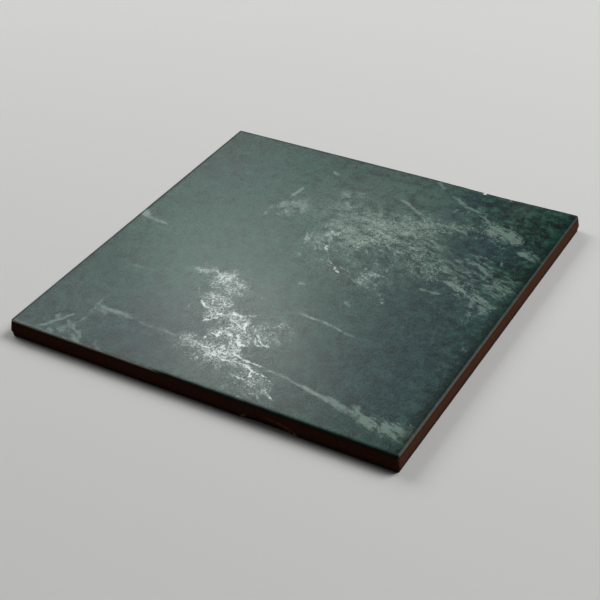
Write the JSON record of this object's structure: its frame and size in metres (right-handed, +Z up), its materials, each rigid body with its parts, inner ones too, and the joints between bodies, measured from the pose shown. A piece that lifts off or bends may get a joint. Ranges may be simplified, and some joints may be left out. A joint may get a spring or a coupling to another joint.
{
  "type": "porcelain tile",
  "caption": "Square floor tile lying face up: dark green stone-look glazed face with a rounded edge, bare red-brown sides and a keyed back for an adhesive bed.",
  "frame": {"origin": "middle of the plane that the keyed back rests on", "axes": "+Z up out of the glazed face, with X and Y square to the sides"},
  "size_m": [0.2, 0.2, 0.009],
  "materials": {
    "glazed_tile": "satin dark grey-green glaze with pale glossy veins over a bare red-brown fired body"
  },
  "bodies": {
    "root": {"tile": "glazed_tile"}
  },
  "joints": []
}
